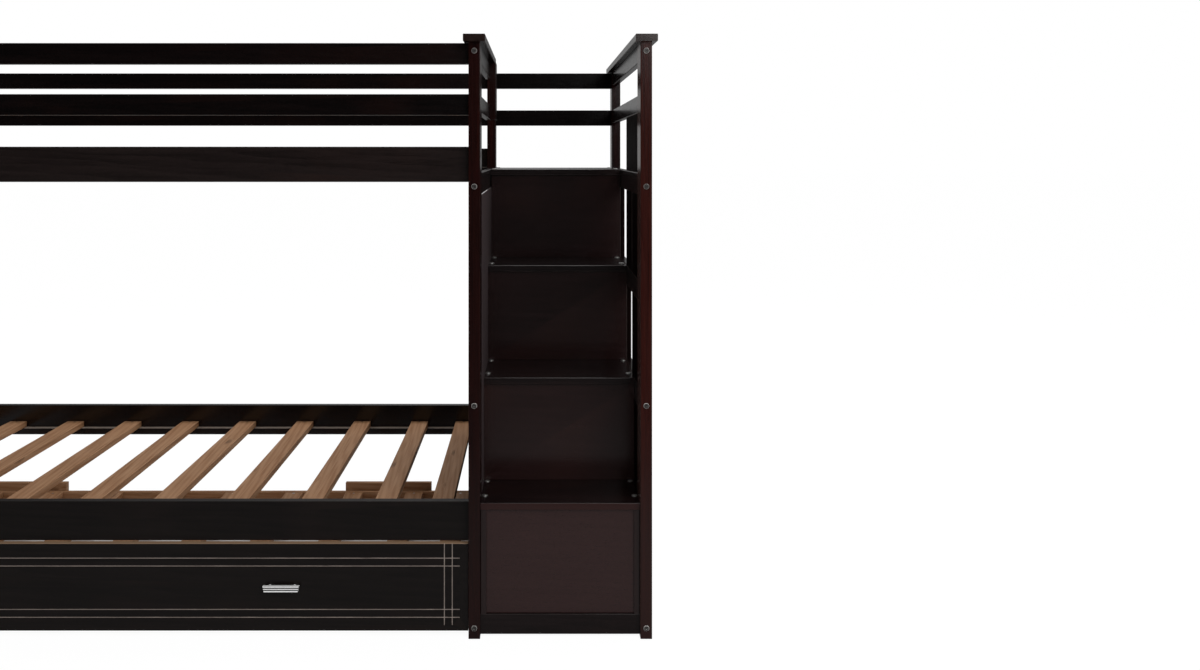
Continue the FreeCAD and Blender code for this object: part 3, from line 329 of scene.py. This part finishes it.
def trundle_dress(shader, colour, place):
    """Pale lines in the trundle front's grooves, partly bare wood and partly a painted highlight, and its
    bare upper edge.
    """
    own = shader.split(shader.place())
    line = shader.band(own["Y"], GROOVE_DEPTHS, TRUNDLE_FACE)
    line = shader.math("MULTIPLY", line, patches(shader, place, 22.0))
    colour = shader.mix(line, colour, GROOVE_LINE)
    high = shader.scale(own["Z"], *[TRUNDLE_TOP + height for height in BARE_EDGE])
    return shader.mix(shader.math("MULTIPLY", facing(shader, "Z"), high), colour, BARE_TOP)


def post_painted_light(shader, colour, place):
    """Painted light on the right front post: a painted reflection of the floor that makes its foot browner
    than the rest of it, and a painted reflection that makes its inner side paler.
    """
    inward = shader.scale(shader.split(shader.normal())["X"], *[-size for size in FACING])
    low = shader.scale(shader.split(shader.place())["Z"], *FOOT_HEIGHTS, 0.0, FOOT_STRENGTH)
    colour = shader.mix(low, colour, POST_FOOT_FLOOR_SHEEN)
    cover = shader.math("MULTIPLY", inward, patches(shader, place, 3.0))
    return shader.mix(cover, colour, POST_INSIDE_SHEEN)


def step_painted_light(shader, colour, place):
    """The lowest step's front, painted as red and light as the floor-lit riser below it: painted light."""
    return shader.mix(facing(shader, "Y"), colour, STEP_FRONT_LIGHT)


def ledger_painted_sheen(shader, colour, place):
    """A painted reflection that makes a ledger's upper face paler than the rest of it."""
    return shader.mix(facing(shader, "Z"), colour, LEDGER_TOP_SHEEN)


# ---- bare softwood -------------------------------------------------------------------------
PINE_TONES = ((0.285, 0.138, 0.062), (0.375, 0.202, 0.104), (0.475, 0.286, 0.165))
PINE_LEVELS = (0.32, 0.50, 0.78)   # grain levels of the dark, middle and pale tones
PINE_STRETCH = 14.0
PINE_SHARES = {"figure": 0.56, "rings": 0.18, "fibres": 0.22, "board": 0.10}
PINE_ROUGHNESS = (0.52, 0.70)
PINE_SHINE = 0.25
KNOT_STRETCH = {"along": 1.6, "across": 3.4}   # a knot is longer along the grain than across it
KNOT_EDGE = (0.02, 0.16)           # distance from a knot's heart at which it starts to fade, and ends
KNOT_DARKNESS = 0.40               # a knot's colour, as a share of the dark tone
KNOT_BEND = 0.8                    # how far a knot pushes the grain aside
SAW_DEPTH = 0.25                   # relief of the saw marks against that of the fibres


def knots(shader, place, along):
    """Small round knots, far apart: 1 at a knot's heart."""
    stretch = [KNOT_STRETCH["along" if axis == along else "across"] for axis in "XYZ"]
    cells = shader.add("ShaderNodeTexVoronoi", {"Vector": shader.vector("MULTIPLY", place, stretch),
                                                "Scale": 2.6, "Randomness": 1.0})
    return shader.scale(cells.outputs["Distance"], *KNOT_EDGE, 1.0, 0.0)


def pine(along):
    """Bare sawn softwood: pale early wood, darker late wood, a few knots and saw marks."""
    dark, middle, pale = PINE_TONES
    shader = Shader("pine_" + along)
    drawn, place, island = board_coordinates(shader, along, PINE_STRETCH)
    knot = knots(shader, place, along)
    bent = shader.vector("ADD", drawn, shader.math("MULTIPLY", knot, KNOT_BEND))
    rings = shader.waves(bent, "DIAGONAL", scale=2.4, distortion=4.5, detail=2.5, detail_scale=0.9)
    figure = shader.noise(bent, scale=2.0, detail=6.0, roughness=0.6, distortion=1.2)
    fibres = shader.noise(drawn, scale=30.0, detail=5.0, roughness=0.7)
    level = grain_level(shader, island, PINE_SHARES, figure, rings, fibres)
    colour = shader.ramp(level, PINE_LEVELS, (dark, middle, pale))
    colour = shader.mix(knot, colour, tuple(KNOT_DARKNESS * part for part in dark))
    saw_marks = shader.waves(place, along, scale=160.0, distortion=2.0, detail=1.0)
    height = shader.math("ADD", fibres, shader.math("MULTIPLY", saw_marks, SAW_DEPTH))
    relief = shader.bump(height, strength=0.14, distance=0.0008)
    roughness = shader.scale(fibres, *NOISE_SPAN, *PINE_ROUGHNESS)
    return shader.finish(colour=colour, roughness=roughness, normal=relief, specular=PINE_SHINE)


# ---- metals and plastic ------------------------------------------------------------------
# Each pair is the dull and the bright tone of the surface.
ZINC = ((0.42, 0.42, 0.41), (0.72, 0.72, 0.70))
DARK_PLATE = ((0.020, 0.018, 0.017), (0.075, 0.070, 0.066))
DARK_SCREW = ((0.020, 0.018, 0.017), (0.060, 0.056, 0.052))
RIM_GLINT = (0.98, 0.95, 0.92)           # painted glint on the rim of a dark bolt head
METALLIC = 1.0
GLINT_METALLIC = 0.35             # low, so that the painted glint on the rims shows where the room round them is dim
STEEL_ROUGHNESS = (0.22, 0.42)

# the plate's bright reflection, painted as a nearly white colour
CHROME_PAINTED_SHINE = ((0.92, 0.92, 0.92), (0.99, 0.99, 0.99))
CHROME_METALLIC = 0.05             # low, so that the handle's white colour, a painted reflection, shows where the room round it is dim
CHROME_ROUGHNESS = (0.12, 0.24)
POLISH_STRETCH = (1.0, 30.0, 30.0)     # the polishing lines run along X
# painted shade in the valleys along the handle's bar
VALLEY_SHADE = (0.05, 0.05, 0.05)
HANDLE_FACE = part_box("trundle_handles")[0].y
# Depths behind the bar's face where a valley's painted shade begins, is full, starts to fade, and ends.
VALLEY_DEPTHS = (0.00005, 0.0003, 0.0018, 0.0022)

NYLON = ((0.012, 0.012, 0.013), (0.055, 0.052, 0.048))
NYLON_LEVELS = (0.35, 0.75)
NYLON_ROUGHNESS = (0.38, 0.62)
NYLON_SHINE = 0.4


def steel(name, tones, glint=None):
    """Plated steel with a fine mottle and scuffs, and a painted glint on its rims where one is given."""
    shader = Shader(name)
    place = shader.place()
    mottle = shader.noise(place, scale=900.0, detail=3.0, roughness=0.6)
    colour = shader.ramp(mottle, NOISE_SPAN, tones)
    if glint:
        colour = painted_edge_highlights(shader, colour, glint, place)
    scuffs = shader.noise(place, scale=2600.0, detail=2.0, roughness=0.7)
    roughness = shader.scale(scuffs, *NOISE_SPAN, *STEEL_ROUGHNESS)
    relief = shader.bump(scuffs, strength=0.06, distance=0.0001)
    return shader.finish(colour=colour, roughness=roughness, normal=relief,
                         metallic=GLINT_METALLIC if glint else METALLIC)


def chrome():
    """Plated handle whose brightness is a painted reflection in a nearly non-metallic white, with painted
    shade in the valleys along its bar, and faint polishing lines.
    """
    shader = Shader("handle_chrome")
    drawn = shader.vector("MULTIPLY", shader.place(), POLISH_STRETCH)
    lines = shader.noise(drawn, scale=60.0, detail=4.0, roughness=0.6)
    colour = shader.ramp(lines, NOISE_SPAN, CHROME_PAINTED_SHINE)
    valley_shade = shader.band(shader.split(shader.place())["Y"], VALLEY_DEPTHS, HANDLE_FACE)
    colour = shader.mix(valley_shade, colour, VALLEY_SHADE)
    roughness = shader.scale(lines, *NOISE_SPAN, *CHROME_ROUGHNESS)
    relief = shader.bump(lines, strength=0.03, distance=0.0001)
    return shader.finish(colour=colour, roughness=roughness, normal=relief, metallic=CHROME_METALLIC)


def nylon():
    """Black moulded caster wheel with a dusty, worn tread."""
    shader = Shader("caster_nylon")
    place = shader.place()
    dust = shader.noise(place, scale=70.0, detail=4.0, roughness=0.6)
    colour = shader.ramp(dust, NYLON_LEVELS, NYLON)
    pits = shader.noise(place, scale=900.0, detail=2.0, roughness=0.6)
    roughness = shader.scale(dust, *NOISE_SPAN, *NYLON_ROUGHNESS)
    relief = shader.bump(pits, strength=0.12, distance=0.0002)
    return shader.finish(colour=colour, roughness=roughness, normal=relief, specular=NYLON_SHINE)


# ---- which finish each node has ----------------------------------------------------------
# each part takes the copy of the stain that matches the light it gets: painted light and shade
ESPRESSO_NODES = {
    ("post", "Z"): ["left_front_post", "left_rear_post", "middle_front_post", "middle_rear_post",
                    "right_rear_post", "middle_guard_stile"],
    ("cap", "Y"): ["left_cap", "middle_cap", "right_cap"],
    ("side", "Y"): ["left_side_rails", "middle_side_rails", "right_side_rails", "top_panels",
                    "tread_cleats"],
    ("guard", "X"): ["front_guard_rails", "rear_guard_rails", "upper_rear_rail",
                     "lower_rear_rail", "stair_rear_rails"],
    ("far_guard", "X"): ["stair_guard_rails"],
    ("rail", "X"): ["upper_front_rail"],
    ("front", "X"): ["lower_front_rail"],
    ("tread", "X"): ["tread_3", "platform_tread"],
    ("low_tread", "X"): ["tread_2", "bottom_shelf"],
    ("panel", "X"): ["riser_3", "riser_4"],
    ("mid_panel", "X"): ["riser_2"],
    ("low_panel", "X"): ["riser_1"],
    ("strip", "Z"): ["riser_1_strips"],
    ("inner_panel", "Z"): ["stair_side_panel"],
    ("panel", "Z"): ["stair_back_panel"],
    ("plank", "Z"): ["right_planks", "riser_trims"],
}
PINE_NODES = {
    "Y": ["upper_slats", "lower_slats", "trundle_slats", "trundle_sides", "dowels"],
    "X": ["trundle_rails", "trundle_stops", "caster_blocks"],
}
BRIGHT_STEEL = ["barrel_nuts", "trundle_screws", "caster_brackets", "caster_axles", "tread_bolts"]


def paint(names, material):
    for name in names:
        mesh = nodes[name].data
        mesh.materials.clear()
        mesh.materials.append(material)


def paint_all():
    for (tone, along), names in ESPRESSO_NODES.items():
        paint(names, espresso(tone, along))
    for along, names in PINE_NODES.items():
        paint(names, pine(along))
    paint(["trundle_front"], espresso("front", "X", "espresso_trundle", trundle_dress))
    paint(["kick_rail"], espresso("tread", "X", "espresso_kick", shine=KICK_SHINE))
    paint(["tread_1"], espresso("low_tread", "X", "espresso_step", step_painted_light, STEP_SHINE))
    paint(["slat_ledgers"], espresso("guard", "X", "espresso_ledger", ledger_painted_sheen))
    paint(["right_front_post"], espresso("lit_right_post", "Z", "espresso_right_post", post_painted_light))
    paint(BRIGHT_STEEL, steel("zinc_plate", ZINC))
    paint(["bolts"], steel("dark_plate", DARK_PLATE, RIM_GLINT))
    paint(["wood_screws"], steel("dark_screws", DARK_SCREW))
    paint(["trundle_handles"], chrome())
    paint([name for name in nodes if name.startswith("wheel_")], nylon())


# ---- studio ------------------------------------------------------------------------------
def make_floor():
    """A wide pale floor: its glow hides its far edge, and the rest of it keeps the shadow."""
    mesh = bpy.data.meshes.new("studio_floor")
    bm = bmesh.new()
    bmesh.ops.create_grid(bm, x_segments=1, y_segments=1, size=FLOOR_REACH)
    bm.to_mesh(mesh)
    bm.free()
    floor = bpy.data.objects.new("studio_floor", mesh)
    bpy.context.scene.collection.objects.link(floor)
    shader = Shader("studio_floor")
    shader.finish(colour=FLOOR_COLOUR, roughness=FLOOR_ROUGHNESS, specular=0.0)
    direct, glossy = shader.rays()
    seen = shader.math("MAXIMUM", direct, glossy)
    own = shader.split(shader.place())
    polished = shader.scale(own["Y"], *FLOOR_NEAR, ROOM_GLOSS, FLOOR_GLOSS)
    level = shader.scale(direct, 0.0, 1.0, polished, FLOOR_SEEN)
    glow = shader.add("ShaderNodeEmission", {"Color": WHITE, "Strength": level})
    shade = shader.math("MULTIPLY", shader.band(own["X"], SHADE_X), shader.band(own["Y"], SHADE_Y))
    glow_share = shader.scale(shade, 0.0, 1.0, FLOOR_GLOW, SHADE_GLOW)
    amount = shader.math("MULTIPLY", seen, glow_share)
    both = shader.add("ShaderNodeMixShader", {0: amount, 1: shader.surface.outputs[0], 2: glow})
    shader.put(shader.tree.nodes["Material Output"].inputs["Surface"], both)
    mesh.materials.append(shader.material)


class World(Shader):
    """The room's node tree, built with the same short calls."""

    def __init__(self):
        world = bpy.data.worlds.new("studio")
        bpy.context.scene.world = world
        world.use_nodes = True
        self.tree = world.node_tree
        self.background = self.tree.nodes["Background"]


def make_world():
    """A white backdrop behind the object and a dim room round it, as polished surfaces see them."""
    world = World()
    world.put(world.background.inputs["Color"], WHITE)
    direct, glossy = world.rays()
    way = world.split(world.add("ShaderNodeTexCoord").outputs["Generated"])
    behind = world.scale(way["Y"], *BACKDROP_WAY, ROOM_GLOSS, BACKDROP_GLOSS)
    side = world.scale(way["X"], *BACKDROP_SIDE, 1.0, BACKDROP_DIM)
    behind = world.math("MULTIPLY", behind, side)
    above = world.scale(way["Z"], *CEILING_WAY, 0.0, CEILING_GLOSS)
    gloss = world.math("MAXIMUM", behind, above)
    level = world.scale(glossy, 0.0, 1.0, WORLD_DIFFUSE, gloss)
    level = world.scale(direct, 0.0, 1.0, level, BACKDROP_SEEN)
    world.put(world.background.inputs["Strength"], level)


def make_lamp(name, place, aim, size, power):
    data = bpy.data.lights.new(name, "AREA")
    data.shape = "SQUARE"
    data.size = size
    data.energy = power
    lamp = bpy.data.objects.new(name, data)
    lamp.location = place
    lamp.rotation_euler = (Vector(aim) - Vector(place)).to_track_quat("-Z", "Y").to_euler()
    bpy.context.scene.collection.objects.link(lamp)


def make_camera():
    data = bpy.data.cameras.new("camera")
    data.sensor_width = SENSOR_WIDTH
    data.lens = SENSOR_WIDTH * FOCAL_PIXELS / IMAGE_WIDTH
    data.shift_x = (IMAGE_WIDTH / 2 - CENTRE_PIXEL[0]) / IMAGE_WIDTH
    data.shift_y = (CENTRE_PIXEL[1] - IMAGE_HEIGHT / 2) / IMAGE_WIDTH
    camera = bpy.data.objects.new("camera", data)
    camera.location = CAMERA_PLACE
    camera.rotation_euler = Euler([math.radians(angle) for angle in CAMERA_TILT])
    bpy.context.scene.collection.objects.link(camera)
    bpy.context.scene.camera = camera


def main():
    make_camera()
    make_world()
    make_lamp("key", **KEY_LIGHT)
    make_lamp("top", **TOP_LIGHT)
    make_floor()
    paint_all()
    bpy.context.scene.view_settings.view_transform = "Standard"


main()
